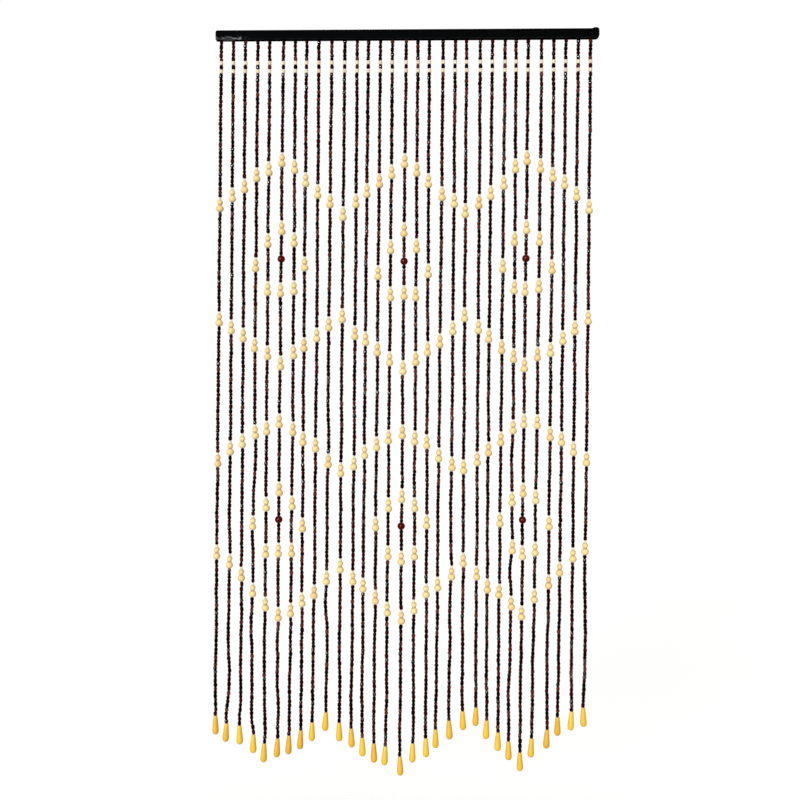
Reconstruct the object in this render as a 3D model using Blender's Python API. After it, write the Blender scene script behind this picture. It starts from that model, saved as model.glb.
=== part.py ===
"""Bead curtain on a painted wooden rail, hanging at rest.

Thirty-one strings of wooden beads hang side by side from a slim black rail. Each string
comes up through its own hole in the rail and is tied into one heading cord, which lies in
a shallow groove along the rail's top. The beads make two rows of three diamonds.

Frame: +X to the right along the rail, seen from the room, +Y to the wall, +Z up. The
origin is the middle of the rail's back face. Units are metres, and MM turns millimetres
into metres.
"""

from collections import namedtuple

import bmesh
import bpy

MM = 0.001

# Rail
RAIL_LENGTH = 900 * MM
RAIL_HEIGHT = 22 * MM
RAIL_DEPTH = 18 * MM
RAIL_EDGE = 1.5 * MM
RAIL_LEFT_ROUND = 5 * MM
RAIL_LEFT_FOOT_ROUND = 2 * MM
RAIL_RIGHT_ROUND = 7 * MM
RAIL_KNOB_LENGTH = 17 * MM
RAIL_KNOB_START = 6 * MM
RAIL_KNOB_RISE = 2.5 * MM

# How a rail end is rounded: share of the rounding's length in from the end, and share of
# it taken off all round there
END_ROUND = ((0, 0.75), (0.3, 0.3), (1, 0))

# Heading cord, its groove, and the holes that the strings come up through
GROOVE_WIDTH = 5 * MM
GROOVE_DEPTH = 3 * MM
GROOVE_OVERRUN = 3 * MM
HEADING_WIDTH = 3.6 * MM
HEADING_HEIGHT = 2 * MM
HEADING_OVERRUN = 2.5 * MM
HOLE_RADIUS = 1.8 * MM
HOLE_SIDES = 8
CLEARANCE = 0.3 * MM

# Strands
STRAND_SIDES = 4
FIRST_STRAND_X = -437 * MM
STRAND_PITCH = 28.94 * MM
SWAY_LENGTH = 1650 * MM
STRING_RADIUS = 1.2 * MM
DARK_RADIUS = 3.5 * MM
SHOULDER = 1.8 * MM

# Bead forms, in mm: each pair is a depth below the form's top and the radius there. The
# spacer is two pale short beads with a dark one between, and the gourd is a pale neck, a
# small round bead and a big one.
SPACER_TOP = 60.5
SPACER_FORM = ((0, 3.5), (1, 4.4), (27.3, 4.4), (28.3, 3.5))
GOURD_LENGTH = 34.5
GOURD_FORM = ((4.5, 3.2), (11, 6.8), (17.6, 4.2), (26, 8.9), (GOURD_LENGTH, 3.5))
RED_FORM = ((0, 3.5), (8.9, 8.9), (17.8, 3.5))
DROP_FORM = ((0, 3.5), (0.6, 4.7), (33, 7.7), (40, 6.6), (44.3, 2.6))

# Tops of the red beads, on the strands that have them
RED_TOPS = {5: (517, 1130), 15: (523, 1145), 25: (517, 1130)}

# Strands from left to right, in mm. aside is the hole's shift from even spacing, belly and
# foot are how far the strand strays sideways half way down and at its foot, gourds are the
# depths of its gourds' undersides below the rail's middle line, and drop is the depth of
# its end drop's top. The gourds run in zigzags that make two rows of three diamonds, with
# the strands 5, 15 and 25 in the diamonds' middles, and every string of the real one is
# threaded a little differently.
Strand = namedtuple("Strand", "aside belly foot gourds drop")
STRANDS = (
    Strand(0.0, 0.0, -15, (415, 684, 1016, 1233), 1601),
    Strand(-0.5, 0.5, -14, (392, 703, 988, 1254), 1619),
    Strand(-1.0, -0.5, -12, (371, 722, 971, 1285), 1624),
    Strand(-0.5, 0.0, -16, (345, 557, 745, 950, 1164, 1322), 1645),
    Strand(-1.5, 0.0, -14, (331, 500, 613, 764, 941, 1120, 1230, 1355), 1666),
    Strand(2.0, -1.5, -15, (310, 470, 616, 788, 924, 1084, 1228, 1379), 1654),
    Strand(1.0, 1.5, -15, (326, 498, 611, 762, 943, 1117, 1228, 1369), 1647),
    Strand(-1.0, -1.0, -14, (357, 555, 745, 966, 1169, 1345), 1635),
    Strand(-1.5, 1.5, -16, (385, 722, 981, 1326), 1616),
    Strand(0.5, -1.5, -15, (407, 696, 1018, 1293), 1592),
    Strand(2.0, -1.0, -14, (437, 677, 1039, 1265), 1616),
    Strand(2.0, 1.0, -15, (407, 717, 1023, 1293), 1630),
    Strand(-0.5, -0.5, -16, (383, 731, 997, 1310), 1651),
    Strand(-1.0, -0.5, -16, (360, 576, 755, 978, 1166, 1338), 1665),
    Strand(-2.0, 0.5, -16, (339, 515, 626, 778, 962, 1121, 1234, 1366), 1671),
    Strand(1.5, -1.0, -15, (313, 475, 623, 799, 950, 1100, 1246, 1385), 1695),
    Strand(0.0, -0.5, -12, (334, 513, 626, 778, 964, 1121, 1234, 1361), 1664),
    Strand(-2.0, -0.5, -9, (360, 572, 755, 973, 1161, 1323), 1652),
    Strand(1.5, 0.0, -18, (391, 736, 1004, 1307), 1631),
    Strand(1.0, 0.5, -16, (407, 706, 1025, 1281), 1610),
    Strand(-1.5, -0.5, -11, (431, 675, 1032, 1250), 1588),
    Strand(2.0, -0.5, -12, (410, 703, 1013, 1281), 1579),
    Strand(1.5, -2.0, -15, (389, 724, 990, 1311), 1609),
    Strand(2.0, 0.0, -18, (365, 560, 750, 966, 1156, 1323), 1637),
    Strand(-1.5, 2.5, -18, (326, 497, 610, 771, 938, 1107, 1219, 1351), 1658),
    Strand(-1.5, 0.0, -20, (307, 469, 614, 793, 924, 1086, 1233, 1374), 1684),
    Strand(0.5, 2.0, -24, (326, 497, 607, 767, 926, 1102, 1224, 1334), 1651),
    Strand(0.0, 0.5, -17, (347, 563, 757, 954, 1163, 1301), 1630),
    Strand(-0.5, 0.5, -20, (364, 729, 966, 1271), 1601),
    Strand(-0.5, -0.5, -18, (392, 706, 989, 1238), 1587),
    Strand(-1.0, 1.5, -19, (422, 682, 1013, 1221), 1578),
)


def paint(name, colour, roughness):
    """A plain painted or lacquered material."""
    material = bpy.data.materials.new(name)
    material.use_nodes = True
    shader = material.node_tree.nodes["Principled BSDF"]
    shader.inputs["Base Color"].default_value = (*colour, 1)
    shader.inputs["Roughness"].default_value = roughness
    shader.inputs["Metallic"].default_value = 0
    material.diffuse_color = (*colour, 1)
    return material


def add_object(name, mesh):
    """A new object in the scene, at the origin."""
    built = bpy.data.objects.new(name, mesh)
    bpy.context.collection.objects.link(built)
    return built


def hide_cutter(cutter):
    """Marks a tool object, which isn't part of the curtain."""
    cutter.hide_render = True
    cutter.display_type = "WIRE"


def add_boolean(target, tool, operation):
    """Cuts target by tool, or joins the two."""
    modifier = target.modifiers.new(tool.name, "BOOLEAN")
    modifier.operation = operation
    modifier.solver = "EXACT"
    modifier.object = tool
    hide_cutter(tool)


def box_mesh(name, low, high):
    """A box between two opposite corners."""
    bm = bmesh.new()
    bmesh.ops.create_cube(bm, size=1)
    for vert in bm.verts:
        for axis in range(3):
            vert.co[axis] = low[axis] if vert.co[axis] < 0 else high[axis]
    mesh = bpy.data.meshes.new(name)
    bm.to_mesh(mesh)
    bm.free()
    return mesh


# Layout

STRAND_Y = -RAIL_DEPTH / 2
HEADING_FLOOR = RAIL_HEIGHT / 2 - GROOVE_DEPTH + CLEARANCE


def hole_x(index):
    """Where a strand's hole is along the rail."""
    return FIRST_STRAND_X + index * STRAND_PITCH + STRANDS[index].aside * MM


def strand_x(index, depth):
    """Where a strand hangs at a depth below the rail's middle line."""
    strand = STRANDS[index]
    t = max(0, depth - RAIL_HEIGHT / 2) / SWAY_LENGTH
    return hole_x(index) + strand.foot * MM * t + strand.belly * MM * 4 * t * (1 - t)


def gourd_tops(index):
    """Depths in mm of the tops of a strand's gourds, from the top one down."""
    return [foot - GOURD_LENGTH for foot in STRANDS[index].gourds]


def red_tops(index):
    """Depths in mm of the tops of a strand's red beads."""
    return RED_TOPS.get(index, ())


def strand_rings(index):
    """The strand's outline from the heading down: a list of (depth, radius)."""
    underside = RAIL_HEIGHT / 2 + CLEARANCE
    rings = [
        (-(HEADING_FLOOR + HEADING_HEIGHT / 2), STRING_RADIUS),
        (underside, STRING_RADIUS),
        (underside + SHOULDER, DARK_RADIUS),
    ]
    forms = [(SPACER_TOP, SPACER_FORM)]
    forms += [(top, GOURD_FORM) for top in gourd_tops(index)]
    forms += [(top, RED_FORM) for top in red_tops(index)]
    forms.append((STRANDS[index].drop, DROP_FORM))
    for top, form in sorted(forms):
        rings += [((top + depth) * MM, radius * MM) for depth, radius in form]
    return rings


# Rail

def rail_section(bm, x, rise, trim, foot_trim):
    """One section of the rail, its long edges cut off, as a list of its corners.

    rise lifts the top face, foot_trim is taken off below, and trim off the other sides.
    """
    high = RAIL_HEIGHT / 2 + rise - trim
    low = foot_trim - RAIL_HEIGHT / 2
    deep = RAIL_DEPTH / 2 - trim
    cut = RAIL_EDGE
    outline = (
        (deep, high - cut), (deep - cut, high), (cut - deep, high), (-deep, high - cut),
        (-deep, low + cut), (cut - deep, low), (deep - cut, low), (deep, low + cut),
    )
    return [bm.verts.new((x, STRAND_Y + y, z)) for y, z in outline]


def rail_mesh():
    """The slat, rounded at both ends, with its top raised at the right end."""
    left = -RAIL_LENGTH / 2
    right = RAIL_LENGTH / 2
    knob = right - RAIL_KNOB_LENGTH
    rise = RAIL_KNOB_RISE
    sections = []
    for along, off in END_ROUND:
        x = left + along * RAIL_LEFT_ROUND
        sections.append((x, 0, off * RAIL_LEFT_ROUND, off * RAIL_LEFT_FOOT_ROUND))
    sections += [(knob, 0, 0, 0), (knob + RAIL_KNOB_START, rise, 0, 0)]
    for along, off in reversed(END_ROUND):
        x = right - along * RAIL_RIGHT_ROUND
        sections.append((x, rise, off * RAIL_RIGHT_ROUND, off * RAIL_RIGHT_ROUND))
    bm = bmesh.new()
    rings = [rail_section(bm, *section) for section in sections]
    count = len(rings[0])
    for near, far in zip(rings, rings[1:]):
        for a in range(count):
            b = (a + 1) % count
            bm.faces.new((near[a], near[b], far[b], far[a]))
    bm.faces.new(rings[0])
    bm.faces.new(rings[-1])
    bmesh.ops.recalc_face_normals(bm, faces=bm.faces)
    mesh = bpy.data.meshes.new("rail")
    bm.to_mesh(mesh)
    bm.free()
    return mesh


def groove_tool():
    """The groove along the rail's top."""
    half = GROOVE_WIDTH / 2
    left = hole_x(0) - GROOVE_OVERRUN
    right = hole_x(len(STRANDS) - 1) + GROOVE_OVERRUN
    low = (left, STRAND_Y - half, RAIL_HEIGHT / 2 - GROOVE_DEPTH)
    high = (right, STRAND_Y + half, RAIL_HEIGHT)
    return add_object("groove_tool", box_mesh("groove_tool", low, high))


def holes_tool():
    """One drill for each strand, down through the rail."""
    bm = bmesh.new()
    for index in range(len(STRANDS)):
        drill = bmesh.ops.create_cone(
            bm, cap_ends=True, segments=HOLE_SIDES,
            radius1=HOLE_RADIUS, radius2=HOLE_RADIUS, depth=RAIL_HEIGHT * 2,
        )
        bmesh.ops.translate(bm, verts=drill["verts"], vec=(hole_x(index), STRAND_Y, 0))
    mesh = bpy.data.meshes.new("holes_tool")
    bm.to_mesh(mesh)
    bm.free()
    return add_object("holes_tool", mesh)


def build_rail():
    """The rail, with its groove and holes."""
    rail = add_object("rail", rail_mesh())
    rail.data.materials.append(paint("black_paint", (0.012, 0.012, 0.014), 0.35))
    add_boolean(rail, groove_tool(), "DIFFERENCE")
    add_boolean(rail, holes_tool(), "DIFFERENCE")
    return rail


# Strands

def strings_tool():
    """All the strands, one loft each, with their upper ends inside the heading cord."""
    bm = bmesh.new()
    for index in range(len(STRANDS)):
        rings = []
        for depth, radius in strand_rings(index):
            ring = bmesh.ops.create_circle(bm, segments=STRAND_SIDES, radius=radius)["verts"]
            bmesh.ops.translate(bm, verts=ring, vec=(strand_x(index, depth), STRAND_Y, -depth))
            rings.append(ring)
        for upper, lower in zip(rings, rings[1:]):
            for a in range(STRAND_SIDES):
                b = (a + 1) % STRAND_SIDES
                bm.faces.new((upper[a], upper[b], lower[b], lower[a]))
        bm.faces.new(rings[0])
        bm.faces.new(rings[-1])
    bmesh.ops.recalc_face_normals(bm, faces=bm.faces)
    mesh = bpy.data.meshes.new("strings_tool")
    bm.to_mesh(mesh)
    bm.free()
    return add_object("strings_tool", mesh)


def build_strands():
    """The heading cord with every strand fused to it at its root."""
    half = HEADING_WIDTH / 2
    left = hole_x(0) - HEADING_OVERRUN
    right = hole_x(len(STRANDS) - 1) + HEADING_OVERRUN
    low = (left, STRAND_Y - half, HEADING_FLOOR)
    high = (right, STRAND_Y + half, HEADING_FLOOR + HEADING_HEIGHT)
    strands = add_object("strands", box_mesh("strands", low, high))
    strands.data.materials.append(paint("brown_beads", (0.09, 0.012, 0.01), 0.3))
    add_boolean(strands, strings_tool(), "UNION")
    return strands


def main():
    for old in list(bpy.data.objects):
        bpy.data.objects.remove(old, do_unlink=True)
    build_rail()
    build_strands()


main()
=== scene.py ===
"""Bead curtain: the looks.

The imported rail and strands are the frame. Every bead of the curtain is threaded here along
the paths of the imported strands, and the rail gets its paint, its drilled holes and the cord
that the strings are tied to.

+X runs to the right along the rail, +Y to the wall and +Z up. Metres, and MM turns
millimetres into metres.
"""

import math
import random
from collections import namedtuple

import bpy
import numpy as np
from mathutils import Euler, Matrix, Vector


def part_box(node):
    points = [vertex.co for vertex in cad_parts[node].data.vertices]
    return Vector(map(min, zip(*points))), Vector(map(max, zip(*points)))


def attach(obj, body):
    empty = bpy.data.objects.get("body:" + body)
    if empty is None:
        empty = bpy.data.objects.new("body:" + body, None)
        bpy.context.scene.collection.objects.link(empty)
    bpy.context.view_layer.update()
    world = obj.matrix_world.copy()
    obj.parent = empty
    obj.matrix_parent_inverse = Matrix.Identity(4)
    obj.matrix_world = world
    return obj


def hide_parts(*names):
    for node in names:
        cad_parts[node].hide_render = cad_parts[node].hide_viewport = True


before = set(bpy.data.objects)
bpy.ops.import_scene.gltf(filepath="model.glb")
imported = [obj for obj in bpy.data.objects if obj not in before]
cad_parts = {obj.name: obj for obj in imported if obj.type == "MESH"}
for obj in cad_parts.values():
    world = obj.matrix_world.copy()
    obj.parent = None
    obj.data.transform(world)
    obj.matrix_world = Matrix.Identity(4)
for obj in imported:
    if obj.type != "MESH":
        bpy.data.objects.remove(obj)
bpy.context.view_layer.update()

MM = 0.001
ROOT = "root"

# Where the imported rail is
RAIL_LOW, RAIL_HIGH = (Vector(corner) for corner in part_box("rail"))
RAIL_DEPTH = RAIL_HIGH.y - RAIL_LOW.y
STRAND_Y = (RAIL_LOW.y + RAIL_HIGH.y) / 2

# Rail
RAIL_HEIGHT = 22 * MM
RAIL_EDGE = 1.5 * MM
RAIL_LEFT_ROUND = 5 * MM
RAIL_LEFT_FOOT_ROUND = 2 * MM
RAIL_RIGHT_ROUND = 7 * MM
RAIL_KNOB_LENGTH = 17 * MM
RAIL_KNOB_START = 6 * MM
RAIL_KNOB_RISE = 2.5 * MM
RAIL_ROUND_STEPS = 6
RAIL_EDGE_STEPS = 3
RAIL_EDGE_ANGLE = math.radians(50)
RAIL_SMOOTH_ANGLE = math.radians(35)

# Heading cord, its groove, and the holes that the strings come up through
GROOVE_WIDTH = 5 * MM
GROOVE_DEPTH = 3 * MM
GROOVE_OVERRUN = 3 * MM
HOLE_RADIUS = 1.8 * MM
HOLE_SIDES = 20
CORD_RADIUS = 1.1 * MM
CORD_OVERRUN = 2 * MM
CORD_CLEARANCE = 0.3 * MM
CORD_PLIES = 3
CORD_PLY_RELIEF = 0.14
CORD_SIDES = 12
CORD_TWIST_LENGTH = 7 * MM
CORD_STEPS_A_TURN = 8
CORD_Z = RAIL_HEIGHT / 2 - GROOVE_DEPTH + CORD_RADIUS + CORD_CLEARANCE

# Strings, and their hitches round the heading cord, which are pulled thin and a little askew
STRING_RADIUS = 0.45 * MM
STRING_STEP = 24
STRING_IN_DROP = 6
HITCH_RADIUS = CORD_RADIUS + 0.15 * MM
HITCH_STRING_RADIUS = STRING_RADIUS * 0.9
HITCH_FROM_HOLE = STRING_RADIUS * 1.1
HITCH_LEAN = 0.16
HITCH_SKEW = 0.15

# Strand paths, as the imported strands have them
FIRST_STRAND_X = -437 * MM
STRAND_PITCH = 28.94 * MM
SWAY_LENGTH = 1650 * MM

# Beads, in mm
FIRST_BEAD_GAP = 0.3
SPACER_TOP = 60.5
SPACER_HEIGHT = 8.8
SPACER_MIDDLE = 10.7
SPACER_TOPS = (SPACER_TOP, SPACER_TOP + SPACER_HEIGHT + SPACER_MIDDLE)
SPACER_RADIUS = 4.4
GOURD_LENGTH = 34.5
RED_WIDTH = 17.8
DROP_LENGTH = 44.3
BROWN_LENGTH = 9.7

# The shortest and the longest share that a brown bead may take of its stretch, where 1 is
# an even share
BROWN_SHARES = (0.72, 1.28)

# How far the wood grain may be shifted from bead to bead, in mm
GRAIN_SHIFT = 400

# Where a gourd's neck ends and where its waist is, from 0 at its top to 1 at its foot
GOURD_NECK = 0.2
GOURD_WAIST = 0.535

# Where along the rail its scuffs begin, and where toward the left end they are full
SCUFFS_BEGIN = -0.28
SCUFFS_FULL = -0.42

# Tops of the red beads, on the strands that have them
RED_TOPS = {5: (517, 1130), 15: (523, 1145), 25: (517, 1130)}

# Strands from left to right, in mm. aside is the hole's shift from even spacing, belly and
# foot are how far the strand strays sideways half way down and at its foot, gourds are the
# depths of its gourds' undersides below the rail's middle line, and drop is the depth of
# its end drop's top. The gourds run in zigzags that make two rows of three diamonds, with
# the strands 5, 15 and 25, counted from 0, in the diamonds' middles, and every string of
# the real one is threaded a little differently.
Strand = namedtuple("Strand", "aside belly foot gourds drop")
STRANDS = (
    Strand(0.0, 0.0, -15, (415, 684, 1016, 1233), 1601),
    Strand(-0.5, 0.5, -14, (392, 703, 988, 1254), 1619),
    Strand(-1.0, -0.5, -12, (371, 722, 971, 1285), 1624),
    Strand(-0.5, 0.0, -16, (345, 557, 745, 950, 1164, 1322), 1645),
    Strand(-1.5, 0.0, -14, (331, 500, 613, 764, 941, 1120, 1230, 1355), 1666),
    Strand(2.0, -1.5, -15, (310, 470, 616, 788, 924, 1084, 1228, 1379), 1654),
    Strand(1.0, 1.5, -15, (326, 498, 611, 762, 943, 1117, 1228, 1369), 1647),
    Strand(-1.0, -1.0, -14, (357, 555, 745, 966, 1169, 1345), 1635),
    Strand(-1.5, 1.5, -16, (385, 722, 981, 1326), 1616),
    Strand(0.5, -1.5, -15, (407, 696, 1018, 1293), 1592),
    Strand(2.0, -1.0, -14, (437, 677, 1039, 1265), 1616),
    Strand(2.0, 1.0, -15, (407, 717, 1023, 1293), 1630),
    Strand(-0.5, -0.5, -16, (383, 731, 997, 1310), 1651),
    Strand(-1.0, -0.5, -16, (360, 576, 755, 978, 1166, 1338), 1665),
    Strand(-2.0, 0.5, -16, (339, 515, 626, 778, 962, 1121, 1234, 1366), 1671),
    Strand(1.5, -1.0, -15, (313, 475, 623, 799, 950, 1100, 1246, 1385), 1695),
    Strand(0.0, -0.5, -12, (334, 513, 626, 778, 964, 1121, 1234, 1361), 1664),
    Strand(-2.0, -0.5, -9, (360, 572, 755, 973, 1161, 1323), 1652),
    Strand(1.5, 0.0, -18, (391, 736, 1004, 1307), 1631),
    Strand(1.0, 0.5, -16, (407, 706, 1025, 1281), 1610),
    Strand(-1.5, -0.5, -11, (431, 675, 1032, 1250), 1588),
    Strand(2.0, -0.5, -12, (410, 703, 1013, 1281), 1579),
    Strand(1.5, -2.0, -15, (389, 724, 990, 1311), 1609),
    Strand(2.0, 0.0, -18, (365, 560, 750, 966, 1156, 1323), 1637),
    Strand(-1.5, 2.5, -18, (326, 497, 610, 771, 938, 1107, 1219, 1351), 1658),
    Strand(-1.5, 0.0, -20, (307, 469, 614, 793, 924, 1086, 1233, 1374), 1684),
    Strand(0.5, 2.0, -24, (326, 497, 607, 767, 926, 1102, 1224, 1334), 1651),
    Strand(0.0, 0.5, -17, (347, 563, 757, 954, 1163, 1301), 1630),
    Strand(-0.5, 0.5, -20, (364, 729, 966, 1271), 1601),
    Strand(-0.5, -0.5, -18, (392, 706, 989, 1238), 1587),
    Strand(-1.0, 1.5, -19, (422, 682, 1013, 1221), 1578),
)

# Groups of strands whose brown beads are one piece each
BROWN_GROUPS = {"left": range(0, 11), "middle": range(11, 21), "right": range(21, 31)}

# One seeded source for waves, hitches and places, and one for the brown beads' lengths
chance = random.Random(31)
uneven = random.Random(8)


# Strand paths

def hole_x(index):
    """Where a strand's hole is along the rail."""
    return FIRST_STRAND_X + index * STRAND_PITCH + STRANDS[index].aside * MM


# The waves that a string of beads keeps: how far each carries it aside, and how long it
# may be, in mm
Wave = namedtuple("Wave", "size shortest longest")
WAVES = (Wave(0.15, 60, 100), Wave(0.35, 150, 240), Wave(0.4, 300, 500))

# The waves' share of their size at the rail, and the depth in mm over which it grows by 1
WAVE_AT_RAIL = 0.6
WAVE_GROWTH = 2500

# How far a strand's waves to the wall are out of step with those along the rail, in
# radians, and their share of the size
WAVE_OUT_OF_STEP = 1.9
WAVE_TO_WALL = 0.6

# The depth in mm at which waves start below the rail, and how far on they are full
SETTLE_TOP = 20
SETTLE_LENGTH = 60

# Added to each strand's waves toward the room, in mm, so that no bead goes into the wall,
# with some to spare
STAND_OFF_SPARE = 0.8
STAND_OFF = STAND_OFF_SPARE + sum(kind.size for kind in WAVES)

# Each strand's own waves: a (length in mm, phase) for each of WAVES
STRAND_WAVES = [
    [
        (chance.uniform(kind.shortest, kind.longest), chance.uniform(0, math.tau))
        for kind in WAVES
    ]
    for _ in STRANDS
]


# Bends that show in single strands, by strand: the depth of a bend's middle, how far it
# carries the strand to the right, and how far above and below it the bend dies out, in mm
Bend = namedtuple("Bend", "depth aside reach")
BENDS = {
    1: (Bend(1198, 1.5, 60), Bend(1395, -1.5, 70), Bend(1503, 3.5, 75), Bend(1602, -3, 50)),
    2: (Bend(1611, -3, 50),),
    3: (Bend(977, 4, 130), Bend(1167, -3, 55), Bend(1371, -2.3, 90), Bend(1642, 4, 40)),
    4: (Bend(1630, 2.3, 60),),
    5: (Bend(1423, -2, 40), Bend(1583, 2.4, 60)),
    9: (Bend(953, 1.6, 90), Bend(1334, -3.2, 60), Bend(1460, 2.2, 110)),
    19: (Bend(1249, 2.3, 55), Bend(1364, -1.5, 60)),
    24: (Bend(1000, -2.8, 75), Bend(1185, 2.4, 55), Bend(1263, -2.2, 45), Bend(1541, -2, 90)),
    27: (Bend(1435, -1.8, 75),),
    30: (Bend(1435, 2.8, 150),),
}


def wave(index, depth, side):
    """How far the waves carry a strand at a depth in mm, in mm.

    side is 0 for the waves along the rail and 1 for those to the wall.
    """
    shift = 0
    for kind, (length, phase) in zip(WAVES, STRAND_WAVES[index]):
        turn = depth / length * math.tau + phase + side * WAVE_OUT_OF_STEP
        shift += kind.size * math.sin(turn)
    return shift * (WAVE_AT_RAIL + depth / WAVE_GROWTH)


def bent(index, depth):
    """How far a strand's bends carry it to the right at a depth in mm, in mm."""
    shift = 0
    for bend in BENDS.get(index, ()):
        off = min(1, abs(depth - bend.depth) / bend.reach)
        shift += bend.aside * math.cos(off * math.pi / 2) ** 2
    return shift


def on_strand(index, depth):
    """A point on a strand at a depth in mm below the rail's middle line."""
    strand = STRANDS[index]
    t = max(0, depth - RAIL_HEIGHT / MM / 2) * MM / SWAY_LENGTH
    sway = strand.foot * t + strand.belly * 4 * t * (1 - t)
    settle = min(1, max(0, depth - SETTLE_TOP) / SETTLE_LENGTH)
    aside = (sway + wave(index, depth, 0) * settle + bent(index, depth)) * MM
    away = (wave(index, depth, 1) - STAND_OFF) * WAVE_TO_WALL * settle * MM
    return Vector((hole_x(index) + aside, STRAND_Y + away, -depth * MM))


def gourd_tops(index):
    """Depths in mm of the tops of a strand's gourds, from the top one down."""
    return [foot - GOURD_LENGTH for foot in STRANDS[index].gourds]


def red_tops(index):
    """Depths in mm of the tops of a strand's red beads."""
    return RED_TOPS.get(index, ())


def brown_runs(index):
    """Stretches of a strand that brown beads fill: a list of (from, to) in mm."""
    taken = [(top, top + SPACER_HEIGHT) for top in SPACER_TOPS]
    taken += [(top, top + GOURD_LENGTH) for top in gourd_tops(index)]
    taken += [(top, top + RED_WIDTH) for top in red_tops(index)]
    taken.append((STRANDS[index].drop, STRANDS[index].drop))
    runs = []
    start = RAIL_HEIGHT / MM / 2 + FIRST_BEAD_GAP
    for top, foot in sorted(taken):
        runs.append((start, top))
        start = foot
    return runs


# Modelling

def deselect_all():
    """Leaves nothing selected."""
    bpy.ops.object.select_all(action="DESELECT")


def select_only(piece):
    """Selects one object and makes it the active one."""
    deselect_all()
    bpy.context.view_layer.objects.active = piece
    piece.select_set(True)


def apply_place():
    """Puts the place, turn and size of what is selected into its mesh."""
    bpy.ops.object.transform_apply(location=True, rotation=True, scale=True)


def joined(parts):
    """Joins objects into the first of them, with their places in its mesh."""
    select_only(parts[0])
    for part in parts[1:]:
        part.select_set(True)
    bpy.ops.object.join()
    apply_place()
    return bpy.context.object


def turned_form(name, profile, segments):
    """A form turned about Z, as a ring extruded down its profile.

    profile is a list of (depth, radius) in mm. The first and the last ring are closed.
    """
    deselect_all()
    depth, radius = profile[0]
    bpy.ops.mesh.primitive_circle_add(vertices=segments, radius=radius * MM, fill_type="NGON")
    form = bpy.context.object
    form.name = name
    bpy.ops.object.mode_set(mode="EDIT")
    bpy.ops.mesh.select_all(action="SELECT")
    bpy.ops.transform.translate(value=(0, 0, -depth * MM))
    for next_depth, next_radius in profile[1:]:
        step = (0, 0, (depth - next_depth) * MM)
        bpy.ops.mesh.extrude_region_move(TRANSFORM_OT_translate={"value": step})
        scale = next_radius / radius
        bpy.ops.transform.resize(
            value=(scale, scale, 1), center_override=(0, 0, -next_depth * MM)
        )
        depth, radius = next_depth, next_radius
    bpy.ops.mesh.select_all(action="SELECT")
    bpy.ops.mesh.normals_make_consistent(inside=False)
    bpy.ops.object.mode_set(mode="OBJECT")
    return form


# A bead's place: the point of its top, how it leans in radians to the side and to the
# wall, its turn about the string, its size, its tone from 0, light, to 1, dark, and its
# gloss from 0, dull, to 1.
Place = namedtuple("Place", "top lean turn size tone gloss")


def placed(index, depth, lean=0.05, size=0.02, aside=0.0, length_size=1.0, reach=8):
    """A bead's place on a strand, a little uneven.

    It may lean by up to lean, in radians, differ in width by up to size, as a share, and
    sit up to aside off the strand, in mm. It hangs in the direction that the strand has
    over its reach, in mm.
    """
    top = on_strand(index, depth)
    along = on_strand(index, depth + reach / 2) - on_strand(index, depth - reach / 2)
    lean_side = math.atan2(along.x, -along.z)
    lean_wall = math.atan2(along.y, -along.z)
    width = 1 + chance.uniform(-size, size)
    shift = Vector((chance.uniform(-aside, aside), chance.uniform(-aside, aside), 0)) * MM
    return Place(
        top + shift,
        (lean_side + chance.uniform(-lean, lean), lean_wall + chance.uniform(-lean, lean)),
        chance.uniform(0, math.tau),
        (width, width, length_size),
        chance.random(),
        chance.random(),
    )


def place_matrix(place):
    """The matrix that puts a form, whose top is at the origin, at a place."""
    side, wall = place.lean
    leaned = Euler((wall, -side, 0)).to_matrix().to_4x4()
    turned = Matrix.Rotation(place.turn, 4, "Z")
    sized = Matrix.Diagonal((*place.size, 1))
    return Matrix.Translation(place.top) @ leaned @ turned @ sized


def thread(name, form, places):
    """One mesh of copies of a form, one at each place, and the form is then removed.

    Each point keeps four things for the finish: bead_point, where it is in its own bead,
    in mm and shifted from bead to bead; down, from 0 at its bead's top to 1 at its foot;
    and its bead's tone and gloss.
    """
    source = form.data
    count = len(source.vertices)
    flat = np.empty(count * 3)
    source.vertices.foreach_get("co", flat)
    points = flat.reshape(count, 3)
    corners = np.empty(len(source.loops), dtype=np.int32)
    source.loops.foreach_get("vertex_index", corners)
    starts = np.empty(len(source.polygons), dtype=np.int32)
    source.polygons.foreach_get("loop_start", starts)
    low, high = points[:, 2].min(), points[:, 2].max()
    down = (high - points[:, 2]) / (high - low)

    copies = len(places)
    placed_points = np.empty((copies, count, 3))
    bead_points = np.empty((copies, count, 3))
    for number, place in enumerate(places):
        matrix = np.array(place_matrix(place))
        placed_points[number] = points @ matrix[:3, :3].T + matrix[:3, 3]
        shift = [chance.uniform(0, GRAIN_SHIFT) for _ in range(3)]
        bead_points[number] = points / MM + shift

    mesh = bpy.data.meshes.new(name)
    mesh.vertices.add(copies * count)
    mesh.vertices.foreach_set("co", placed_points.ravel())
    mesh.loops.add(copies * len(corners))
    shifts = np.arange(copies, dtype=np.int32)
    mesh.loops.foreach_set("vertex_index", (corners + shifts[:, None] * count).ravel())
    mesh.polygons.add(copies * len(starts))
    mesh.polygons.foreach_set("loop_start", (starts + shifts[:, None] * len(corners)).ravel())
    mesh.update(calc_edges=True)
    mesh.validate()
    mesh.shade_smooth()
    add_attribute(mesh, "tone", "FLOAT", np.repeat([place.tone for place in places], count))
    add_attribute(mesh, "gloss", "FLOAT", np.repeat([place.gloss for place in places], count))
    add_attribute(mesh, "down", "FLOAT", np.tile(down, copies))
    add_attribute(mesh, "bead_point", "FLOAT_VECTOR", bead_points.ravel())

    bpy.data.objects.remove(form)
    piece = bpy.data.objects.new(name, mesh)
    bpy.context.collection.objects.link(piece)
    return piece


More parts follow.
